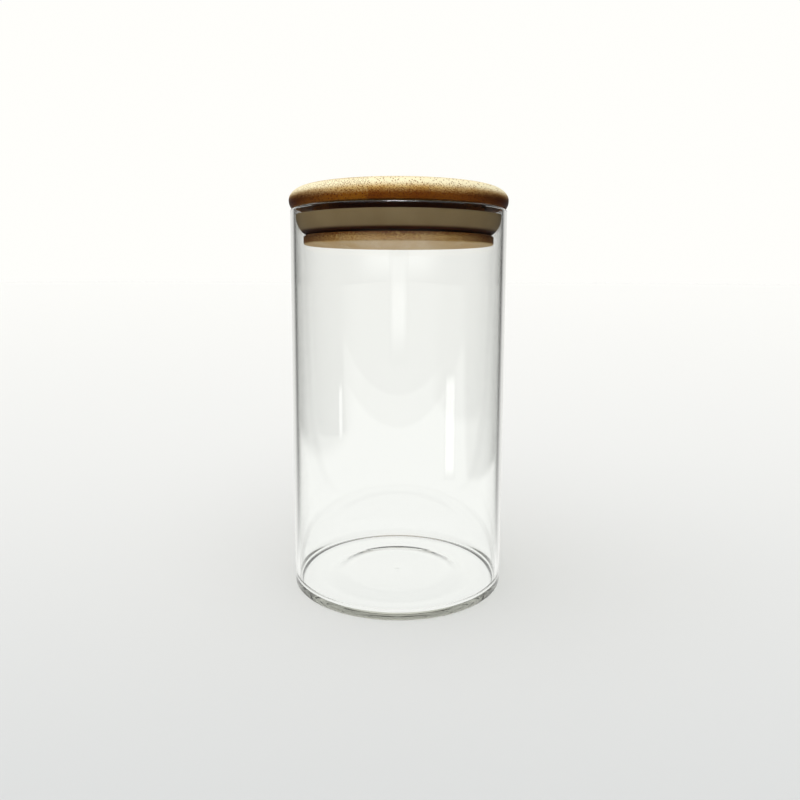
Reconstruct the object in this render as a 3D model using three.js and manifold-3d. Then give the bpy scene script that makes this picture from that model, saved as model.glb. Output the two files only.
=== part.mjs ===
// Glass storage jar with a push-in bamboo lid and a silicone cup seal.
// Millimetres, +Z up, origin at the middle of the foot, on the surface that the jar stands on.
import * as THREE from 'three';
import { mergeVertices } from 'three/addons/utils/BufferGeometryUtils.js';
import Module from 'manifold-3d';

// Glass jar: a straight borosilicate tube with a closed base
const JAR_DIAMETER = 85;
const JAR_HEIGHT = 150;
const JAR_WALL = 1.8;
const FLOOR_THICKNESS = 2;
const HEEL_RADIUS = 1.5;
const FLOOR_CORNER_RADIUS = 2;
const FOOT_RING_WIDTH = 10;
const FOOT_RECESS_DEPTH = 0.6;

// Lid: turned from a board of three plies of glued bamboo strips
const CAP_OVERHANG = 0.5;
const CAP_THICKNESS = 8;
const CAP_EDGE_RADIUS = 5;
const PLUG_DEPTH = 13.9;
const FOOT_DISC_THICKNESS = 3.4;
const FOOT_DISC_CORNER_RADIUS = 0.7;
const GROOVE_DEPTH = 3.5;
const STRIP_WIDTH = 20.6;
const LEAST_STRIP_WIDTH = 4;
const GLUE_LINE = 0.1;
const TURNING_WASTE = 1;

// Silicone ring: a sleeve round the neck of the lid with a lip that cups upwards
const SLEEVE_THICKNESS = 1.4;
const LIP_THICKNESS = 1.1;
const RING_BELOW_CAP = 2.9;
const LIP_ROOT_WIDTH = 1;

// Fits
const CAP_TO_RIM_GAP = 0.3;
const FOOT_DISC_TO_GLASS_GAP = 3.2;
const RING_TO_GLASS_GAP = 0.3;
const RING_TO_LID_GAP = 0.3;

// Facets of the turned forms
const TURN_SEGMENTS = 64;
const EDGE_STEPS = 6;
const CORNER_STEPS = 3;
const LIP_STEPS = 6;
const RECESS_STEPS = 3;
const SAME_POINT = 1e-5;

// Sizes that follow from the ones above
const jarRadius = JAR_DIAMETER / 2;
const boreRadius = jarRadius - JAR_WALL;
const capRadius = jarRadius + CAP_OVERHANG;
const capUnderside = JAR_HEIGHT + CAP_TO_RIM_GAP;
const capTop = capUnderside + CAP_THICKNESS;
const plugBottom = capUnderside - PLUG_DEPTH;
const footDiscTop = plugBottom + FOOT_DISC_THICKNESS;
const footDiscRadius = boreRadius - FOOT_DISC_TO_GLASS_GAP;
const neckRadius = footDiscRadius - GROOVE_DEPTH;
const coreBottom = (capUnderside + plugBottom) / 2;

const wasm = await Module();
wasm.setup();

const point = (radius, height) => new THREE.Vector2(radius, height);

// Points of an elliptic arc in the half-section, from one angle to the other in degrees
function arc(centreRadius, centreHeight, reachOut, reachUp, fromDegrees, toDegrees, steps) {
  const points = [];
  for (let step = 0; step <= steps; step += 1) {
    const angle = THREE.MathUtils.degToRad(fromDegrees + ((toDegrees - fromDegrees) * step) / steps);
    points.push(point(centreRadius + reachOut * Math.cos(angle), centreHeight + reachUp * Math.sin(angle)));
  }
  return points;
}

const roundCorner = (centreRadius, centreHeight, size, from, to, steps) =>
  arc(centreRadius, centreHeight, size, size, from, to, steps);

// Joins the vertices that faces share and drops the faces that shrink to a line on the axis
function closedGeometry(geometry) {
  const bare = geometry.clone();
  bare.deleteAttribute('normal');
  bare.deleteAttribute('uv');
  const merged = mergeVertices(bare, SAME_POINT);
  const index = merged.getIndex().array;
  const kept = [];
  for (let corner = 0; corner < index.length; corner += 3) {
    const [a, b, c] = [index[corner], index[corner + 1], index[corner + 2]];
    if (a !== b && b !== c && c !== a) kept.push(a, b, c);
  }
  merged.setIndex(kept);
  return merged;
}

// Revolves a half-section about +Z
function turned(halfSection) {
  const geometry = new THREE.LatheGeometry(halfSection, TURN_SEGMENTS);
  geometry.rotateX(Math.PI / 2);
  return closedGeometry(geometry);
}

function toSolid(geometry) {
  return new wasm.Manifold(new wasm.Mesh({
    numProp: 3,
    vertProperties: new Float32Array(geometry.getAttribute('position').array),
    triVerts: new Uint32Array(geometry.getIndex().array),
  }));
}

function toGeometry(solid) {
  const mesh = solid.getMesh();
  const geometry = new THREE.BufferGeometry();
  geometry.setAttribute('position', new THREE.BufferAttribute(new Float32Array(mesh.vertProperties), 3));
  geometry.setIndex(new THREE.BufferAttribute(new Uint32Array(mesh.triVerts), 1));
  return geometry;
}

function piece(name, geometry, material) {
  geometry.computeVertexNormals();
  const mesh = new THREE.Mesh(geometry, material);
  mesh.name = name;
  return mesh;
}

// Materials
const glass = () => new THREE.MeshStandardMaterial({
  color: 0xe9f0ec, roughness: 0.03, metalness: 0, transparent: true, opacity: 0.3,
});
const silicone = () => new THREE.MeshStandardMaterial({ color: 0xcfc8b8, roughness: 0.45, metalness: 0 });
const bamboo = () => new THREE.MeshStandardMaterial({ color: 0xc08f4e, roughness: 0.6, metalness: 0 });

// Jar: the base stands on a flat ring round a shallow recess, and the rim is melted to a half round
function jarSection() {
  const heelCentre = jarRadius - HEEL_RADIUS;
  const recessRadius = heelCentre - FOOT_RING_WIDTH;
  const rimRadius = JAR_WALL / 2;
  const cornerCentre = boreRadius - FLOOR_CORNER_RADIUS;
  const cornerHeight = FLOOR_THICKNESS + FLOOR_CORNER_RADIUS;
  const dome = [];
  for (let step = 0; step <= RECESS_STEPS; step += 1) {
    const share = step / RECESS_STEPS;
    dome.push(point(recessRadius * share, FOOT_RECESS_DEPTH * (1 - share * share)));
  }
  const floor = dome.map((low) => point(low.x, low.y + FLOOR_THICKNESS)).reverse();
  return [
    ...dome,
    ...roundCorner(heelCentre, HEEL_RADIUS, HEEL_RADIUS, -90, 0, CORNER_STEPS),
    ...roundCorner(jarRadius - rimRadius, JAR_HEIGHT - rimRadius, rimRadius, 0, 180, 2 * CORNER_STEPS),
    ...roundCorner(cornerCentre, cornerHeight, FLOOR_CORNER_RADIUS, 0, -90, CORNER_STEPS),
    ...floor,
  ];
}

// Ring: the lip leaves the foot of the sleeve, swells outwards in a quarter of an ellipse and stands open
// at the top, level with the sleeve, so that pressure above it pushes it harder against the glass
function ringSection() {
  const boreOfRing = neckRadius + RING_TO_LID_GAP;
  const sleeveOuter = boreOfRing + SLEEVE_THICKNESS;
  const ringBottom = footDiscTop + RING_TO_LID_GAP;
  const ringTop = capUnderside - RING_BELOW_CAP;
  const lipRoot = boreOfRing + LIP_ROOT_WIDTH;
  const lipReach = boreRadius - RING_TO_GLASS_GAP - lipRoot;
  const lipRise = ringTop - ringBottom;
  const cupReach = lipReach - LIP_THICKNESS - SLEEVE_THICKNESS + LIP_ROOT_WIDTH;
  return [
    point(boreOfRing, ringBottom),
    ...arc(lipRoot, ringTop, lipReach, lipRise, -90, 0, LIP_STEPS),
    ...arc(sleeveOuter, ringTop, cupReach, lipRise - LIP_THICKNESS, 0, -90, LIP_STEPS),
    point(sleeveOuter, ringTop),
    point(boreOfRing, ringTop),
    point(boreOfRing, ringBottom),
  ];
}

// Lid: foot disc, neck and cap in one half-section, as they come off the lathe
function lidSection() {
  const footCorner = footDiscRadius - FOOT_DISC_CORNER_RADIUS;
  const edgeCentre = capRadius - CAP_EDGE_RADIUS;
  const edgeHeight = capTop - CAP_EDGE_RADIUS;
  const undersideDrop = Math.min(1, (edgeHeight - capUnderside) / CAP_EDGE_RADIUS);
  const undersideAngle = -THREE.MathUtils.radToDeg(Math.asin(undersideDrop));
  const corner = FOOT_DISC_CORNER_RADIUS;
  return [
    point(0, plugBottom),
    ...roundCorner(footCorner, plugBottom + corner, corner, -90, 0, CORNER_STEPS),
    ...roundCorner(footCorner, footDiscTop - corner, corner, 0, 90, CORNER_STEPS),
    point(neckRadius, footDiscTop),
    point(neckRadius, capUnderside),
    ...roundCorner(edgeCentre, edgeHeight, CAP_EDGE_RADIUS, undersideAngle, 0, CORNER_STEPS),
    ...roundCorner(edgeCentre, edgeHeight, CAP_EDGE_RADIUS, 0, 90, EDGE_STEPS).slice(1),
    point(0, capTop),
  ];
}

// Glue joints across a ply: every strip width from the first joint, with no thin strip at the edge
function jointsAcross(radius, firstJoint) {
  const joints = [];
  for (let place = firstJoint; place < radius - LEAST_STRIP_WIDTH; place += STRIP_WIDTH) {
    joints.push(place);
    if (place > 0) joints.unshift(-place);
  }
  return joints;
}

// Cuts one ply of the turned lid into its strips; crosswise strips lie along X, the others along Y
function plyStrips(name, turnedLid, { bottom, top, radius, firstJoint, crosswise }) {
  const joints = jointsAcross(radius, firstJoint);
  const sides = [-radius, ...joints, radius];
  const isOuter = (side) => side === 0 || side === sides.length - 1;
  const strips = [];
  for (let strip = 1; strip < sides.length; strip += 1) {
    const low = sides[strip - 1] + (isOuter(strip - 1) ? -TURNING_WASTE : GLUE_LINE / 2);
    const high = sides[strip] - (isOuter(strip) ? -TURNING_WASTE : GLUE_LINE / 2);
    const board = new THREE.BoxGeometry(high - low, 2 * (radius + TURNING_WASTE), top - bottom);
    board.translate((low + high) / 2, 0, (bottom + top) / 2);
    if (crosswise) board.rotateZ(Math.PI / 2);
    const shape = turnedLid.intersect(toSolid(closedGeometry(board)));
    strips.push(piece(`${name}_${strip}`, toGeometry(shape), bamboo()));
  }
  return strips;
}

const jarGroup = new THREE.Group();
jarGroup.add(piece('glass_jar', turned(jarSection()), glass()));

const lidGroup = new THREE.Group();
const turnedLid = toSolid(turned(lidSection()));
lidGroup.add(...plyStrips('cap_strip', turnedLid, {
  bottom: capUnderside, top: capTop, radius: capRadius, firstJoint: STRIP_WIDTH / 2, crosswise: false,
}));
lidGroup.add(...plyStrips('core_strip', turnedLid, {
  bottom: coreBottom, top: capUnderside - GLUE_LINE, radius: neckRadius, firstJoint: 0, crosswise: true,
}));
lidGroup.add(...plyStrips('foot_strip', turnedLid, {
  bottom: plugBottom, top: coreBottom - GLUE_LINE, radius: footDiscRadius, firstJoint: 0, crosswise: false,
}));
lidGroup.add(piece('sealing_ring', turned(ringSection()), silicone()));

const storageJar = new THREE.Group();
storageJar.add(jarGroup, lidGroup);

export default storageJar;
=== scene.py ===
import math

import bmesh
import bpy
from mathutils import Matrix, Vector


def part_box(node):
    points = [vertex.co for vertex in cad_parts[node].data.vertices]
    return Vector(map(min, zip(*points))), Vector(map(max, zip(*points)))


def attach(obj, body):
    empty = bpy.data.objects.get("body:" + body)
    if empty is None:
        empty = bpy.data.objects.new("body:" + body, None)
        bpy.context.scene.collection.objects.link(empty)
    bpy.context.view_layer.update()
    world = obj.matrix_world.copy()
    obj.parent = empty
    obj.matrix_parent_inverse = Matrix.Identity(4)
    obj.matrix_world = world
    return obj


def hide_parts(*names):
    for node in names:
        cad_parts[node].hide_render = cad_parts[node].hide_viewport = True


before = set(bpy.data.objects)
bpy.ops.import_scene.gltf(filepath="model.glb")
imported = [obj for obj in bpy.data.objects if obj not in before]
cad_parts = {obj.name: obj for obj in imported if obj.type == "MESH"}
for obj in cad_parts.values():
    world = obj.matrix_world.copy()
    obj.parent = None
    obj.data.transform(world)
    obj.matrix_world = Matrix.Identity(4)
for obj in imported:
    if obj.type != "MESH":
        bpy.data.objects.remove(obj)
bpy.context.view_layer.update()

# Glass jar
# One piece of clear borosilicate glass, drawn as a tube, with its base closed and flattened in the flame.
# The base stands on a flat ring round a shallow recess, and the rim is melted to a half round.
mm = 0.001
jar_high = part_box("glass_jar")[1]
jar_radius = jar_high.x
jar_height = jar_high.z
jar_wall = 1.8 * mm
floor_thickness = 2 * mm
heel_radius = 1.2 * mm
floor_corner_radius = 3 * mm
foot_ring_width = 10 * mm
foot_recess_depth = 0.6 * mm
recess_edge_width = 13 * mm
pip_radius = 1.8 * mm
pip_height = 0.12 * mm

glass_segments = 384
base_steps = 24
heel_steps = 16
rim_steps = 24
floor_corner_steps = 24
crease_angle = math.radians(38)
holding_distance = 0.08 * mm
long_stretch = 10 * holding_distance

face_on_glass = (0.993, 1.0, 0.995, 1)
# Painted shade: the grey that the bore wall takes where it is seen slanted, for the dim room it would
# mirror.
painted_edge_shade_glass = (0.45, 0.45, 0.44, 1)
glass_depth_tint = (0.66, 0.67, 0.59, 1)
glass_depth_density = 18
face_on_shadow = (0.985, 0.99, 0.985, 1)
edge_on_shadow = (0.8, 0.81, 0.8, 1)
glass_refraction = 1.47
draw_line_scale = (60, 60, 2)
draw_line_detail = 3
draw_line_strength = 0.02
draw_line_depth = 0.02 * mm
wall_slant_blend = 0.5
wall_slants = (0.5, 1)
edge_shade_start = floor_corner_radius
edge_shade_full = 4 * floor_corner_radius
shadow_slant_blend = 0.3
shadow_slants = (0.2, 1)


def arc(centre, reach, start, end, steps):
    """Points of an elliptic arc in a half-section, from one angle to the other in degrees."""
    points = []
    for step in range(steps + 1):
        angle = math.radians(start + (end - start) * step / steps)
        points.append((centre[0] + reach[0] * math.cos(angle), centre[1] + reach[1] * math.sin(angle)))
    return points


def round_corner(centre, size, start, end, steps):
    """Points of a round corner in a half-section."""
    return arc(centre, (size, size), start, end, steps)


def eased(share):
    """A share from nought to one that starts and ends gently."""
    return share * share * (3 - 2 * share)


def held(half_section):
    """The same half-section, with a point near each end of its long stretches to keep their shading flat."""
    points = half_section[:1]
    for start, end in zip(half_section, half_section[1:]):
        length = math.dist(start, end)
        if length > long_stretch:
            share = holding_distance / length
            for along in (share, 1 - share):
                points.append(tuple(a + (b - a) * along for a, b in zip(start, end)))
        points.append(end)
    return points


def turned(half_section, segments, closed=False):
    """A mesh of the (radius, height) points of a half-section, turned about the upright axis."""
    mesh = bmesh.new()
    turn = 2 * math.pi / segments
    rings = []
    for radius, height in held(half_section):
        ring = []
        for step in range(segments if radius > 0 else 1):
            angle = turn * step
            ring.append(mesh.verts.new((radius * math.cos(angle), radius * math.sin(angle), height)))
        rings.append(ring)
    ends = rings[1:] + rings[:1] if closed else rings[1:]
    for low, high in zip(rings, ends):
        for step in range(segments):
            after = (step + 1) % segments
            corners = [low[step % len(low)], low[after % len(low)]]
            corners += [high[after % len(high)], high[step % len(high)]]
            face = mesh.faces.new(list(dict.fromkeys(corners)))
            face.smooth = True
    return mesh


def finished(name, mesh, material):
    """A piece with its sharp edges marked, in one material."""
    for edge in mesh.edges:
        if edge.is_manifold and edge.calc_face_angle() > crease_angle:
            edge.smooth = False
    data = bpy.data.meshes.new(name)
    mesh.to_mesh(data)
    mesh.free()
    data.materials.append(material)
    made = bpy.data.objects.new(name, data)
    bpy.context.scene.collection.objects.link(made)
    return made


def feed(node, inputs):
    """Sets or links the inputs of a shader node, by their names or places."""
    for name, value in inputs.items():
        if isinstance(value, bpy.types.NodeSocket):
            node.id_data.links.new(value, node.inputs[name])
        else:
            node.inputs[name].default_value = value
    return node


def add(tree, kind, inputs=None, **settings):
    """A new shader node with its settings and inputs."""
    node = tree.nodes.new("ShaderNode" + kind)
    for name, value in settings.items():
        setattr(node, name, value)
    return feed(node, inputs or {})


def calculate(tree, operation, *values):
    """The result of a sum on sockets and numbers."""
    return add(tree, "Math", dict(enumerate(values)), operation=operation).outputs[0]


def noise(tree, place, scale=1, detail=2):
    """Cloudy noise about one half."""
    return add(tree, "TexNoise", {"Vector": place, "Scale": scale, "Detail": detail}).outputs["Fac"]


def smooth_step(tree, value, low, high):
    """Nought below the low value and one above the high one, with a smooth change between them."""
    inputs = {"Value": value, "From Min": low, "From Max": high}
    return add(tree, "MapRange", inputs, interpolation_type="SMOOTHSTEP").outputs["Result"]


def mixed(tree, factor, first, second, blend="MIX"):
    """One colour laid over another by a factor."""
    node = add(tree, "Mix", {"Factor": factor}, data_type="RGBA", blend_type=blend)
    feed(node, {6: first, 7: second})
    return node.outputs[2]


def new_material(name):
    """A material, its node tree and its surface shader."""
    material = bpy.data.materials.new(name)
    material.use_nodes = True
    return material, material.node_tree, material.node_tree.nodes["Principled BSDF"]


def jar_half_section():
    """The jar from the middle of the foot, up the outside, over the rim and down to the inner floor."""
    heel_centre = jar_radius - heel_radius
    recess_radius = heel_centre - foot_ring_width
    bore_radius = jar_radius - jar_wall
    rim_radius = jar_wall / 2
    corner_centre = (bore_radius - floor_corner_radius, floor_thickness + floor_corner_radius)
    recess = [(0, foot_recess_depth)]
    floor = []
    pip = []
    for step in range(base_steps + 1):
        share = step / base_steps
        edge_radius = recess_radius - recess_edge_width * (1 - share)
        recess.append((edge_radius, foot_recess_depth * (1 - eased(eased(share)))))
        radius = recess_radius + (pip_radius - recess_radius) * share
        floor.append((radius, floor_thickness + foot_recess_depth * (1 - (radius / recess_radius) ** 2)))
        pip_rise = foot_recess_depth + pip_height * eased(share)
        pip.append((pip_radius * (1 - share), floor_thickness + pip_rise))
    return [
        *recess,
        *round_corner((heel_centre, heel_radius), heel_radius, -90, 0, heel_steps),
        *round_corner((jar_radius - rim_radius, jar_height - rim_radius), rim_radius, 0, 180, rim_steps),
        *round_corner(corner_centre, floor_corner_radius, 0, -90, floor_corner_steps),
        *floor[:-1],
        *pip,
    ]


def clear_glass():
    """Clear tube glass with the faint upright lines of its drawing, a grey depth in its slanted wall, and
    painted shade on the bore wall where it is seen slanted.
    """
    material, tree, surface = new_material("clear_tube_glass")
    place = add(tree, "TexCoord").outputs["Object"]
    stretched = add(tree, "Mapping", {"Vector": place, "Scale": draw_line_scale}).outputs["Vector"]
    lines = noise(tree, stretched, detail=draw_line_detail)
    relief = add(tree, "Bump", {
        "Height": lines,
        "Strength": draw_line_strength,
        "Distance": draw_line_depth,
    })
    flat = add(tree, "VectorMath", {0: place, 1: (1, 1, 0)}, operation="MULTIPLY").outputs["Vector"]
    radius = add(tree, "VectorMath", {0: flat}, operation="LENGTH").outputs["Value"]
    inside = calculate(tree, "LESS_THAN", radius, jar_radius - jar_wall / 2)
    height = add(tree, "SeparateXYZ", {0: place}).outputs["Z"]
    above_floor = smooth_step(tree, height, edge_shade_start, edge_shade_full)
    bore = calculate(tree, "MULTIPLY", inside, above_floor)
    # Painted shade: the bore wall greys where it is seen slanted.
    slant = add(tree, "LayerWeight", {"Blend": wall_slant_blend}).outputs["Facing"]
    painted_edge_shade = calculate(tree, "MULTIPLY", smooth_step(tree, slant, *wall_slants), bore)
    feed(surface, {
        "Base Color": mixed(tree, painted_edge_shade, face_on_glass, painted_edge_shade_glass),
        "Roughness": 0,
        "IOR": glass_refraction,
        "Transmission Weight": 1,
        "Normal": relief.outputs["Normal"],
    })
    light_path = add(tree, "LightPath").outputs
    unbent = calculate(tree, "MAXIMUM", light_path["Is Shadow Ray"], light_path["Is Diffuse Ray"])
    edge_on = add(tree, "LayerWeight", {"Blend": shadow_slant_blend}).outputs["Facing"]
    shadow = mixed(tree, smooth_step(tree, edge_on, *shadow_slants), face_on_shadow, edge_on_shadow)
    thin = add(tree, "BsdfTransparent", {"Color": shadow})
    mix = add(tree, "MixShader", {0: unbent, 1: surface.outputs[0], 2: thin.outputs[0]})
    depth = add(tree, "VolumeAbsorption", {"Color": glass_depth_tint, "Density": glass_depth_density})
    feed(tree.nodes["Material Output"], {"Surface": mix.outputs[0], "Volume": depth.outputs[0]})
    return material


jar = finished("jar_glass", turned(jar_half_section(), glass_segments), clear_glass())
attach(jar, "jar")
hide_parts("glass_jar")

# Foot ply of the lid
# The lowest layer of the lid's board: four bamboo strips glued side by side, running front to back.
# They are turned to a disc that guides the lid into the jar, with the start of the neck above it.
glue_line = 0.1 * mm
pressed_into_glue = 0.45 * glue_line
saw_tolerance = 1e-7
lid_segments = 192
foot_corner_steps = 6
foot_names = [f"foot_strip_{number}" for number in range(1, 5)]
foot_boxes = [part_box(name) for name in foot_names]
foot_radius = foot_boxes[1][1].y
foot_bottom = foot_boxes[1][0].z
foot_top = foot_boxes[1][1].z
foot_disc_thickness = 3.4 * mm
foot_corner_radius = 0.7 * mm
groove_depth = 3.5 * mm
neck_radius = foot_radius - groove_depth

noise_middle = 0.5
bundle_gap = 0.85 * mm
bundle_edges = (0.18, 0.4)
fine_bundle_gap = 0.5 * mm
fine_bundle_edges = (0.2, 0.5)
bundle_length = 60 * mm
bundle_crowding = 0.6
bundle_share = 0.8
skin_depth = 4 * mm
skin_share = 0.5
fibre_gap = 0.22 * mm
fibre_length = 16 * mm
fibre_detail = 4
fibre_contrast = (0.35, 0.85)
mottle_gap = 0.4 * mm
mottle_length = 4 * mm
mottle_contrast = (0.42, 0.72)
mottle_share = 0.45
patch_gap = 9 * mm
patch_length = 90 * mm
patch_contrast = (0.3, 0.75)
shade_edge_unevenness = 4 * mm
side_slants = (0.35, 0.9)
painted_light_share = 0.85
painted_light_lost_on_top = 0.5
pore_depth_share = 0.6
grain_strength = 0.5
grain_depth = 0.06 * mm
sanded_roughness = (0.42, 0.62)
oil_gloss = 0.05

pale_pith = (0.92, 0.80, 0.53, 1)
warm_pith = (0.76, 0.55, 0.25, 1)
dark_bundle = (0.22, 0.085, 0.015, 1)
mottle_colour = (0.58, 0.42, 0.22, 1)
dense_skin = (0.48, 0.27, 0.08, 1)
cut_end = (0.90, 0.78, 0.46, 1)
# Partly grain and partly painted shade: long-grain sides darken where the turned edge turns away from the
# light.
side_grain_and_shade = (0.25, 0.15, 0.06, 1)
# Painted shade: the brown that darkens the wood between two given heights.
painted_shade_brown = (0.27, 0.12, 0.012, 1)
# Painted light: the pale colour of the cap's shoulder, where the top light falls.
painted_light_shoulder = (0.98, 0.905, 0.63, 1)
no_painted_shade_tint = (1, 1, 1, 1)
plain_streaks = 0.45
# Painted shade: the foot is darker all over, for the dimmer light it gets under the lid.
foot_painted_shade_tint = (0.82, 0.77, 0.74, 1)
foot_ends = (0.66, 0.57, 0.35, 1)
foot_streaks = 0.12
foot_tones = (0.50, 0.66, 0.56, 0.6)
# Painted shade: the foot darkens towards its top under the ring, and its sides darken above its bottom
# corner.
foot_painted_shade = (foot_bottom + 1 * mm, foot_bottom + 3.6 * mm)
foot_side_shade = (foot_bottom, foot_bottom + foot_corner_radius)


def bamboo(
        name, tone, skin, inside, painted_shade_heights, side_shade_heights, painted_light_heights=None,
        crosswise=False, streaks=plain_streaks, painted_shade_tint=no_painted_shade_tint, ends=cut_end):
    """Bamboo of one strip: vascular bundles that show as dots on the end grain and as streaks along it.

    The bundles crowd together and darken towards the height of the strip's skin side. Between two heights
    each, painted shade makes the wood darker, and its long-grain sides darker still, those partly for their
    grain.
    Painted light turns a shoulder pale between its first two heights, and less so between its last two.
    """
    material, tree, surface = new_material(name)
    coordinates = add(tree, "TexCoord").outputs
    own_stretch = (tone, 3 * tone, 7 * tone)
    own = add(tree, "Mapping", {"Vector": coordinates["Object"], "Location": own_stretch})
    if crosswise:
        feed(own, {"Rotation": (0, 0, math.pi / 2)})
    place = own.outputs["Vector"]

    def along_fibre(gap, length):
        """Places stretched along the fibres."""
        scale = (1 / gap, 1 / length, 1 / gap)
        return add(tree, "Mapping", {"Vector": place, "Scale": scale}).outputs["Vector"]

    def dots(gap, edges):
        """Round bundles that run along the fibres."""
        cells = add(tree, "TexVoronoi", {"Vector": along_fibre(gap, bundle_length), "Scale": 1})
        return calculate(tree, "SUBTRACT", 1, smooth_step(tree, cells.outputs["Distance"], *edges))

    height = add(tree, "SeparateXYZ", {0: coordinates["Object"]}).outputs["Z"]
    density = smooth_step(tree, height, inside, skin)
    sparse = smooth_step(tree, calculate(tree, "SUBTRACT", 1, density), 0, bundle_crowding)
    dense = smooth_step(tree, density, 0, bundle_crowding)
    large = calculate(tree, "MULTIPLY", dots(bundle_gap, bundle_edges), sparse)
    small = calculate(tree, "MULTIPLY", dots(fine_bundle_gap, fine_bundle_edges), dense)
    bundles = calculate(tree, "MAXIMUM", large, small)
    fibres = noise(tree, along_fibre(fibre_gap, fibre_length), detail=fibre_detail)
    mottle = noise(tree, along_fibre(mottle_gap, mottle_length))
    patches = noise(tree, along_fibre(patch_gap, patch_length))

    facing = add(tree, "SeparateXYZ", {0: coordinates["Normal"]}).outputs
    end_facing = facing["X" if crosswise else "Y"]
    side_facing = calculate(tree, "ABSOLUTE", facing["Y" if crosswise else "X"])
    shade = calculate(tree, "ADD", patches, tone - noise_middle)
    pith = mixed(tree, smooth_step(tree, shade, *patch_contrast), pale_pith, warm_pith)
    ground = mixed(tree, calculate(tree, "MULTIPLY", density, skin_share), pith, dense_skin)
    streaked = mixed(tree, smooth_step(tree, fibres, *fibre_contrast), ground, dark_bundle)
    colour = mixed(tree, streaks, ground, streaked)
    mottled = calculate(tree, "MULTIPLY", smooth_step(tree, mottle, *mottle_contrast), mottle_share)
    colour = mixed(tree, mottled, colour, mottle_colour, "MULTIPLY")
    colour = mixed(tree, calculate(tree, "POWER", end_facing, 2), colour, ends, "MULTIPLY")
    # Painted light: a pale shoulder between two heights, fading back near the very top.
    if painted_light_heights:
        shoulder = calculate(tree, "MULTIPLY", smooth_step(tree, height, *painted_light_heights[:2]), painted_light_share)
        lost = calculate(tree, "MULTIPLY", smooth_step(tree, height, *painted_light_heights[2:]), painted_light_lost_on_top)
        colour = mixed(tree, calculate(tree, "SUBTRACT", shoulder, lost), colour, painted_light_shoulder)
    across_grain = calculate(tree, "MULTIPLY", calculate(tree, "ABSOLUTE", end_facing), bundle_share)
    strength = calculate(tree, "ADD", across_grain, streaks / 2)
    colour = mixed(tree, calculate(tree, "MULTIPLY", bundles, strength), colour, dark_bundle)
    # Painted shade between two heights, with its edge made uneven by the mottle.
    spread = calculate(tree, "SUBTRACT", mottle, noise_middle)
    uneven = calculate(tree, "MULTIPLY", spread, shade_edge_unevenness)
    painted_shade = smooth_step(tree, calculate(tree, "ADD", height, uneven), *painted_shade_heights)
    colour = mixed(tree, painted_shade, colour, painted_shade_brown, "MULTIPLY")
    # Darker long-grain sides between two heights: partly their grain, partly painted shade.
    sides = smooth_step(tree, side_facing, *side_slants)
    shaded_sides = calculate(tree, "MULTIPLY", sides, smooth_step(tree, height, *side_shade_heights))
    colour = mixed(tree, shaded_sides, colour, side_grain_and_shade, "MULTIPLY")
    # Painted shade: this tint darkens the whole strip, where it is not plain.
    colour = mixed(tree, 1, colour, painted_shade_tint, "MULTIPLY")

    pores = calculate(tree, "MULTIPLY", bundles, pore_depth_share)
    grain = calculate(tree, "SUBTRACT", fibres, pores)
    relief = add(tree, "Bump", {"Height": grain, "Strength": grain_strength, "Distance": grain_depth})
    smoothest, roughest = sanded_roughness
    rough = add(tree, "MapRange", {"Value": fibres, "To Min": smoothest, "To Max": roughest})
    feed(surface, {
        "Base Color": colour,
        "Roughness": rough.outputs["Result"],
        "Specular IOR Level": oil_gloss,
        "Normal": relief.outputs["Normal"],
    })
    return material


def sawn(ply, low, high, crosswise=False):
    """A copy of a turned ply, sawn to the stretch between two glue joints."""
    strip = ply.copy()
    across = (0, 1, 0) if crosswise else (1, 0, 0)
    for side, sense in ((low, -1), (high, 1)):
        everything = strip.verts[:] + strip.edges[:] + strip.faces[:]
        cut = [side * part for part in across]
        away = [sense * part for part in across]
        bmesh.ops.bisect_plane(
            strip, geom=everything, dist=saw_tolerance, plane_co=cut, plane_no=away, clear_outer=True)
        open_edges = [edge for edge in strip.edges if edge.is_boundary]
        if open_edges:
            bmesh.ops.holes_fill(strip, edges=open_edges)
    return strip


def foot_half_section():
    """The foot disc with its rounded corners, and the first part of the neck."""
    corner = foot_radius - foot_corner_radius
    disc_top = foot_bottom + foot_disc_thickness
    low_corner = (corner, foot_bottom + foot_corner_radius)
    high_corner = (corner, disc_top - foot_corner_radius)
    return [
        (0, foot_bottom),
        *round_corner(low_corner, foot_corner_radius, -90, 0, foot_corner_steps),
        *round_corner(high_corner, foot_corner_radius, 0, 90, foot_corner_steps),
        (neck_radius, disc_top),
        (neck_radius, foot_top),
        (0, foot_top),
    ]


foot_ply = turned(foot_half_section(), lid_segments)
for name, (low, high), tone in zip(foot_names, foot_boxes, foot_tones):
    strip_bamboo = bamboo(
        "bamboo_" + name, tone, foot_bottom - skin_depth, foot_top,
        painted_shade_heights=foot_painted_shade, side_shade_heights=foot_side_shade, streaks=foot_streaks, painted_shade_tint=foot_painted_shade_tint, ends=foot_ends)
    shape = sawn(foot_ply, low.x - pressed_into_glue, high.x + pressed_into_glue)
    strip = finished("bamboo_" + name, shape, strip_bamboo)
    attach(strip, "lid")
    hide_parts(name)

# Core ply of the lid
# The middle layer of the board: four bamboo strips laid crosswise, so that the lid stays flat.
# It is turned to the neck that the sealing ring grips, and painted shade makes it dark all through, for the
# deep shade in the gap under the cap.
core_names = [f"core_strip_{number}" for number in range(1, 5)]
core_boxes = [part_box(name) for name in core_names]
core_bottom = core_boxes[1][0].z
core_top = core_boxes[1][1].z
# Painted shade: the whole core is darkened, for the deep shade in the gap under the cap.
core_painted_shade = (core_top + 2 * mm, core_top + 1 * mm)
core_tones = (0.45, 0.58, 0.5, 0.63)

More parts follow.
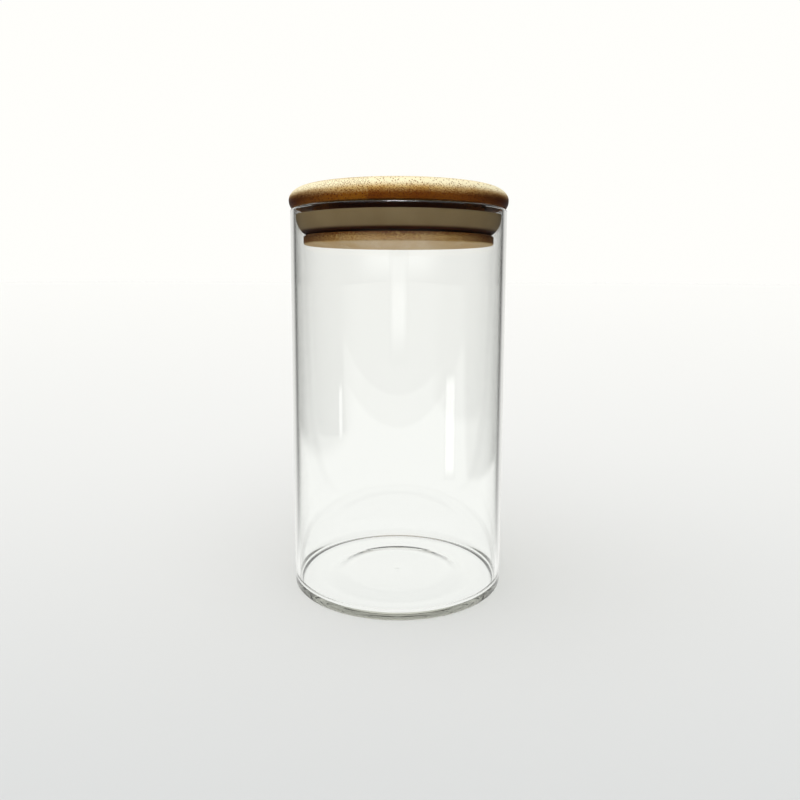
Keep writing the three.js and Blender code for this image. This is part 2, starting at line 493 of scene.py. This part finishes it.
core_section = [(0, core_bottom), (neck_radius, core_bottom), (neck_radius, core_top), (0, core_top)]
core_ply = turned(core_section, lid_segments)
for name, (low, high), tone in zip(core_names, core_boxes, core_tones):
    strip_bamboo = bamboo(
        "bamboo_" + name, tone, core_bottom, core_top, painted_shade_heights=core_painted_shade, side_shade_heights=core_painted_shade, crosswise=True)
    shape = sawn(core_ply, low.y - pressed_into_glue, high.y + pressed_into_glue, crosswise=True)
    strip = finished("bamboo_" + name, shape, strip_bamboo)
    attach(strip, "lid")
    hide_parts(name)

# Cap ply of the lid
# The top layer of the board: five bamboo strips glued side by side, running front to back.
# It is turned to a disc with one round edge, sanded and oiled, and rests just above the jar's rim.
cap_names = [f"cap_strip_{number}" for number in range(1, 6)]
cap_boxes = [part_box(name) for name in cap_names]
cap_radius = cap_boxes[2][1].y
cap_bottom = cap_boxes[2][0].z
cap_top = cap_boxes[2][1].z
cap_edge_radius = 5 * mm
cap_shoulder_width = 7 * mm
cap_edge_steps = 8
cap_shoulder_steps = 24
# Painted shade darkens the lower part of the cap's edge and its sides still more. Painted light turns the
# shoulder pale, less so on the very top.
cap_painted_shade = (cap_bottom + 4.2 * mm, cap_bottom + 1.7 * mm)
cap_side_shade = (cap_bottom + 5.4 * mm, cap_bottom + 2.6 * mm)
cap_painted_light = (cap_bottom + 3.4 * mm, cap_bottom + 5.8 * mm)
cap_painted_light_lost = (cap_top - 1.5 * mm, cap_top - 0.05 * mm)
cap_tones = (0.36, 0.42, 0.55, 0.5, 0.46)
skin_side_up = (True, True, False, False, False)


def cap_half_section():
    """The cap with its round lower edge and a longer, flatter round up to its top."""
    widest = cap_top - cap_edge_radius
    edge_centre = (cap_radius - cap_edge_radius, widest)
    lower_angle = -math.degrees(math.asin((widest - cap_bottom) / cap_edge_radius))
    shoulder_centre = (cap_radius - cap_shoulder_width, widest)
    shoulder = (cap_shoulder_width, cap_edge_radius)
    return [
        (0, cap_bottom),
        *round_corner(edge_centre, cap_edge_radius, lower_angle, 0, cap_edge_steps),
        *arc(shoulder_centre, shoulder, 0, 90, cap_shoulder_steps)[1:],
        (0, cap_top),
    ]


cap_ply = turned(cap_half_section(), lid_segments)
for name, (low, high), tone, skin_up in zip(cap_names, cap_boxes, cap_tones, skin_side_up):
    skin, inside = (cap_top, cap_bottom) if skin_up else (cap_bottom, cap_top)
    strip_bamboo = bamboo(
        "bamboo_" + name, tone, skin, inside,
        painted_shade_heights=cap_painted_shade, side_shade_heights=cap_side_shade, painted_light_heights=cap_painted_light + cap_painted_light_lost)
    shape = sawn(cap_ply, low.x - pressed_into_glue, high.x + pressed_into_glue)
    strip = finished("bamboo_" + name, shape, strip_bamboo)
    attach(strip, "lid")
    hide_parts(name)
for ply in (foot_ply, core_ply, cap_ply):
    ply.free()

# Sealing ring
# One moulding of milky silicone, stretched over the foot disc into the groove of the lid.
# Its sleeve grips the neck, and its lip cups upwards against the glass.
ring_low, ring_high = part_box("sealing_ring")
ring_outer = ring_high.x
ring_bottom = ring_low.z
ring_top = ring_high.z
ring_to_lid_gap = 0.3 * mm
ring_bore = neck_radius + ring_to_lid_gap
sleeve_thickness = 1.4 * mm
lip_thickness = 1.1 * mm
lip_root_width = 1 * mm
lip_steps = 24
milky_silicone = (0.216, 0.155, 0.081, 1)
deep_silicone = (0.185, 0.129, 0.063, 1)
# Painted shade: the ring darkens to near black towards its foot, close to the foot disc.
painted_shade_at_ring_foot = (0.03, 0.006, 0.001, 1)
ring_foot_shade_heights = (ring_bottom + 2 * mm, ring_bottom + 0.9 * mm)
cloud_scale = 90
cloud_detail = 3
cloud_contrast = (0.3, 0.7)
satin_scale = 1800
satin_strength = 0.25
satin_depth = 0.03 * mm
satin_roughness = (0.5, 0.62)
silicone_refraction = 1.41
silicone_gloss = 0.08


def ring_half_section():
    """The sleeve, and the lip that leaves its foot and swells outwards in a quarter of an ellipse."""
    sleeve_outer = ring_bore + sleeve_thickness
    lip_root = ring_bore + lip_root_width
    lip_reach = ring_outer - lip_root
    lip_rise = ring_top - ring_bottom
    cup_reach = ring_outer - lip_thickness - sleeve_outer
    return [
        (ring_bore, ring_bottom),
        *arc((lip_root, ring_top), (lip_reach, lip_rise), -90, 0, lip_steps),
        *arc((sleeve_outer, ring_top), (cup_reach, lip_rise - lip_thickness), 0, -90, lip_steps),
        (sleeve_outer, ring_top),
        (ring_bore, ring_top),
    ]


def ramp(tree, factor, *stops):
    """A colour ramp through (place, colour) stops."""
    node = add(tree, "ValToRGB", {"Fac": factor})
    while len(node.color_ramp.elements) < len(stops):
        node.color_ramp.elements.new(1)
    for element, (place, colour) in zip(node.color_ramp.elements, stops):
        element.position = place
        element.color = colour
    return node.outputs["Color"]


def silicone():
    """Cloudy silicone with a soft satin skin, turning near black towards its foot with painted shade."""
    material, tree, surface = new_material("milky_silicone")
    place = add(tree, "TexCoord").outputs["Object"]
    clouds = noise(tree, place, cloud_scale, cloud_detail)
    satin = noise(tree, place, satin_scale)
    relief = add(tree, "Bump", {"Height": satin, "Strength": satin_strength, "Distance": satin_depth})
    smoothest, roughest = satin_roughness
    rough = add(tree, "MapRange", {"Value": clouds, "To Min": smoothest, "To Max": roughest})
    height = add(tree, "SeparateXYZ", {0: place}).outputs["Z"]
    deep_place, milky_place = cloud_contrast
    cloudy = ramp(tree, clouds, (deep_place, deep_silicone), (milky_place, milky_silicone))
    # Painted shade towards the ring's foot.
    colour = mixed(tree, smooth_step(tree, height, *ring_foot_shade_heights), cloudy, painted_shade_at_ring_foot)
    feed(surface, {
        "Base Color": colour,
        "Roughness": rough.outputs["Result"],
        "IOR": silicone_refraction,
        "Specular IOR Level": silicone_gloss,
        "Normal": relief.outputs["Normal"],
    })
    return material


ring = finished("silicone_ring", turned(ring_half_section(), lid_segments, closed=True), silicone())
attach(ring, "seal")
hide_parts("sealing_ring")

# Table
# A wide pale table that the jar stands on. It fades to white in the distance and keeps the jar's shadow.
# Straight through the glass it is a painted glow, plain and bright, that shows no shadow. Light that has
# bounced in the glass meets painted dark patches on either side of the jar and a dimmer painted band past
# the table's front edge.
table_half_width = 15
table_level = -0.05 * mm
table_front = -40
table_back = 40
near_colour = (0.665, 0.676, 0.68, 1)
far_colour = (0.88, 0.877, 0.86, 1)
fade_start = -0.13
fade_length = 0.23
fade_reaches = (0.25, 1.2)
mirrored_near = (0.93, 0.94, 0.925, 1)
mirrored_far = (1.0, 0.995, 0.965, 1)
mirrored_front = -0.376
mirrored_front_blur = 0.012
# Painted reflection: the dark patches beside the jar and the dim band past the front edge, seen only in the
# glass.
beyond_colour = (0.4, 0.4, 0.39, 1)
dark_left = {"sense": -1, "edge": 0.265, "edge_blur": 0.035, "slant": -0.83, "slant_blur": 0.3}
dark_right = {"sense": 1, "edge": 0.2, "edge_blur": 0.012, "slant": -0.32, "slant_blur": 0.05}
dark_colour = (0.04, 0.04, 0.039, 1)
dark_bearings = (math.radians(46), math.radians(54))
dark_half_reach = 0.075
surround_bearings = (9, 15, 31, 37)
surround_levels = (1, 0.8, 0.66, 0)


def surround(tree, bearing):
    """How bright the surroundings in the glass are, by their bearing from straight behind the jar."""
    stops = []
    for degrees, level in zip(surround_bearings, surround_levels):
        stops.append((degrees / 180, (level, level, level, 1)))
    return ramp(tree, calculate(tree, "DIVIDE", bearing, math.pi), *stops)


def met_by_light(tree):
    """Whether light comes by way of the glass, whether it bounced there, and whether it is seen directly."""
    light_path = add(tree, "LightPath").outputs
    in_glass = calculate(tree, "MAXIMUM", light_path["Is Glossy Ray"], light_path["Is Transmission Ray"])
    bounced = calculate(tree, "MINIMUM", light_path["Glossy Depth"], 1)
    return in_glass, bounced, light_path["Is Camera Ray"]


def blurred_edge(tree, value, edge, blur):
    """Nought before an edge and one past it, over the width of its blur to either side."""
    return smooth_step(tree, value, edge - blur, edge + blur)


table_mesh = bmesh.new()
table_corners = []
for side, y in ((-1, table_front), (1, table_front), (1, table_back), (-1, table_back)):
    table_corners.append(table_mesh.verts.new((side * table_half_width, y, table_level)))
table_mesh.faces.new(table_corners)

table_material, tree, surface = new_material("pale_table")
place = add(tree, "TexCoord").outputs["Object"]
sideways = add(tree, "SeparateXYZ", {0: place}).outputs["X"]
across = calculate(tree, "ABSOLUTE", sideways)
depth = add(tree, "SeparateXYZ", {0: place}).outputs["Y"]
distance = add(tree, "VectorMath", {0: place}, operation="LENGTH").outputs["Value"]
bearing = calculate(tree, "ARCTAN2", calculate(tree, "SUBTRACT", across, jar_radius), depth)

beyond_jar = calculate(tree, "SUBTRACT", depth, fade_start)
all_round = calculate(tree, "MULTIPLY", distance, smooth_step(tree, distance, *fade_reaches))
farthest = calculate(tree, "MAXIMUM", calculate(tree, "MAXIMUM", beyond_jar, all_round), 0)
fade = calculate(tree, "DIVIDE", farthest, calculate(tree, "ADD", farthest, fade_length))
seen = mixed(tree, fade, near_colour, far_colour)
plain = mixed(tree, fade, mirrored_near, mirrored_far)

aside = calculate(tree, "SUBTRACT", 1, surround(tree, bearing))
well_aside = smooth_step(tree, bearing, *dark_bearings)
narrow = calculate(tree, "SUBTRACT", 1, well_aside)
away = calculate(tree, "MAXIMUM", calculate(tree, "SUBTRACT", distance, jar_radius), 0)
deepening = calculate(tree, "DIVIDE", away, calculate(tree, "ADD", away, dark_half_reach))
dark = calculate(tree, "MULTIPLY", calculate(tree, "MULTIPLY", aside, narrow), deepening)
slant = calculate(tree, "DIVIDE", depth, across)
for part in (dark_left, dark_right):
    outward = calculate(tree, "MULTIPLY", sideways, part["sense"])
    past_side = blurred_edge(tree, outward, part["edge"], part["edge_blur"])
    behind = blurred_edge(tree, slant, part["slant"], part["slant_blur"])
    clear_of_jar = calculate(tree, "MULTIPLY", behind, well_aside)
    dark = calculate(tree, "MAXIMUM", dark, calculate(tree, "MULTIPLY", past_side, clear_of_jar))
past_front = smooth_step(
    tree, depth, mirrored_front + mirrored_front_blur, mirrored_front - mirrored_front_blur)
surrounded = mixed(tree, dark, mixed(tree, past_front, plain, beyond_colour), dark_colour)

in_glass, bounced, _ = met_by_light(tree)
feed(surface, {"Base Color": seen, "Roughness": 1, "Specular IOR Level": 0})
# Painted light: what the glass shows of the table is a glow, with painted dark patches in what it mirrors.
even = add(tree, "Emission", {"Color": mixed(tree, bounced, plain, surrounded), "Strength": 1})
table_shader = add(tree, "MixShader", {0: in_glass, 1: surface.outputs[0], 2: even.outputs[0]})
feed(tree.nodes["Material Output"], {"Surface": table_shader.outputs[0]})
finished("pale_table_top", table_mesh, table_material)

# Light
# Soft daylight from above in front, a little from the left, and an even glow from all round.
# Straight through the glass everything is white, and what the glass mirrors is a room with dim sides.
daylight_strength = 1.4
daylight_angle = math.radians(90)
daylight_from = (-0.25, -0.45, 0.86)
glow_above = (0.85, 0.85, 0.835, 1)
glow_behind = (0.5, 0.5, 0.49, 1)
glow_in_front = (0.6, 0.6, 0.59, 1)
glow_right = (0.08, 0.08, 0.078, 1)
front_to_back = (-0.8, 0.8)
middle_to_right = (0, 0.8)
low_to_high = (0.1, 0.8)
white = (1.0, 0.995, 0.965, 1)
room_dim = (0.02, 0.02, 0.019, 1)
room_front = (0.9, 0.9, 0.88, 1)
room_ceiling = (0.5, 0.5, 0.49, 1)
ceiling_rises = (0.36, 0.5)
front_bearings = (math.radians(120), math.radians(160))
front_band_foot = (-0.02, 0.035)
front_band_top = (0.075, 0.05)

daylight = bpy.data.lights.new("daylight", "SUN")
daylight.energy = daylight_strength
daylight.angle = daylight_angle
lamp = bpy.data.objects.new("daylight", daylight)
lamp.rotation_euler = Vector(daylight_from).to_track_quat("Z", "Y").to_euler()
lamp.visible_glossy = False
lamp.visible_transmission = False
bpy.context.scene.collection.objects.link(lamp)

world = bpy.data.worlds.new("white_room")
bpy.context.scene.world = world
world.use_nodes = True
tree = world.node_tree
tree.nodes.clear()
direction = add(tree, "SeparateXYZ", {0: add(tree, "TexCoord").outputs["Generated"]}).outputs
bearing = calculate(tree, "ABSOLUTE", calculate(tree, "ARCTAN2", direction["X"], direction["Y"]))
above_foot = smooth_step(tree, direction["Z"], *front_band_foot)
below_top = smooth_step(tree, direction["Z"], *front_band_top)
band = calculate(tree, "MULTIPLY", above_foot, below_top)
front = calculate(tree, "MULTIPLY", band, smooth_step(tree, bearing, *front_bearings))
walls = mixed(tree, surround(tree, bearing), mixed(tree, front, room_dim, room_front), white)
room = mixed(tree, smooth_step(tree, direction["Z"], *ceiling_rises), walls, room_ceiling)
level = mixed(tree, smooth_step(tree, direction["Y"], *front_to_back), glow_in_front, glow_behind)
sided = mixed(tree, smooth_step(tree, direction["X"], *middle_to_right), level, glow_right)
glow = mixed(tree, smooth_step(tree, direction["Z"], *low_to_high), sided, glow_above)
in_glass, bounced, direct = met_by_light(tree)
lit = mixed(tree, in_glass, glow, mixed(tree, bounced, white, room))
shown = mixed(tree, direct, lit, white)
background = add(tree, "Background", {"Color": shown, "Strength": 1})
add(tree, "OutputWorld", {"Surface": background.outputs[0]})

# Lit cards
# Soft white cards that only shine in what is mirrored: one behind the camera, one low on each side
# and one high in front, which the rim of the glass catches.
right_turn = math.radians(56)
left_turn = math.radians(-62)


def lit_card(name, middle, width, height, turn, blur, brightness):
    """An upright card that glows towards its middle and shows in mirrored light alone."""
    mesh = bmesh.new()
    corners = [(-1, -1), (1, -1), (1, 1), (-1, 1)]
    mesh.faces.new([mesh.verts.new((x * width / 2, 0, z * height / 2)) for x, z in corners])
    material, tree, _ = new_material(name)
    place = add(tree, "SeparateXYZ", {0: add(tree, "TexCoord").outputs["Object"]}).outputs
    strength = brightness
    for axis, size in (("X", width), ("Z", height)):
        inward = calculate(tree, "SUBTRACT", size / 2, calculate(tree, "ABSOLUTE", place[axis]))
        strength = calculate(tree, "MULTIPLY", smooth_step(tree, inward, 0, blur), strength)
    glow = add(tree, "Emission", {"Strength": strength})
    feed(tree.nodes["Material Output"], {"Surface": glow.outputs[0]})
    card = finished(name, mesh, material)
    card.location = middle
    card.rotation_euler = (0, 0, turn)
    card.visible_camera = False
    card.visible_diffuse = False
    card.visible_transmission = False
    card.visible_shadow = False


lit_card(
    "front_card", middle=(0.003, -0.51, 0.095), width=0.17, height=0.116,
    turn=0, blur=0.05, brightness=2.4)
lit_card(
    "right_card", middle=(0.1304, -0.1135, 0.043), width=0.036, height=0.062,
    turn=right_turn, blur=0.009, brightness=4)
lit_card(
    "left_card", middle=(-0.1974, -0.1305, 0.038), width=0.022, height=0.04,
    turn=left_turn, blur=0.008, brightness=4)
lit_card(
    "high_card", middle=(0.005, -0.45, 0.5), width=0.36, height=0.3,
    turn=0, blur=0.05, brightness=18)

# Camera
# The photograph's viewing angle: a phone held close, a little above the middle of the jar.
# The paths of light are long enough to cross the wall and the base of the glass many times.
camera_distance = 0.28107
camera_height = 0.12295
camera_pitch = 0.12697
camera_roll = 0.0036
sensor_millimetres = 36
photo_size = 800
focal_pixels = 695.37
middle_x = 398.11
middle_y = 368.78
nearest_seen = 0.01
farthest_seen = 200
light_bounces = 40

camera_data = bpy.data.cameras.new("camera")
camera_data.sensor_width = sensor_millimetres
camera_data.lens = sensor_millimetres * focal_pixels / photo_size
camera_data.shift_x = 0.5 - middle_x / photo_size
camera_data.shift_y = middle_y / photo_size - 0.5
camera_data.clip_start = nearest_seen
camera_data.clip_end = farthest_seen
camera = bpy.data.objects.new("camera", camera_data)
aim = Matrix.Rotation(math.pi / 2 - camera_pitch, 4, "X") @ Matrix.Rotation(camera_roll, 4, "Z")
camera.matrix_world = Matrix.Translation((0, -camera_distance, camera_height)) @ aim
bpy.context.scene.collection.objects.link(camera)
bpy.context.scene.camera = camera
bpy.context.scene.view_settings.view_transform = "Standard"
bpy.context.scene.cycles.max_bounces = light_bounces
bpy.context.scene.cycles.glossy_bounces = light_bounces
bpy.context.scene.cycles.transmission_bounces = light_bounces
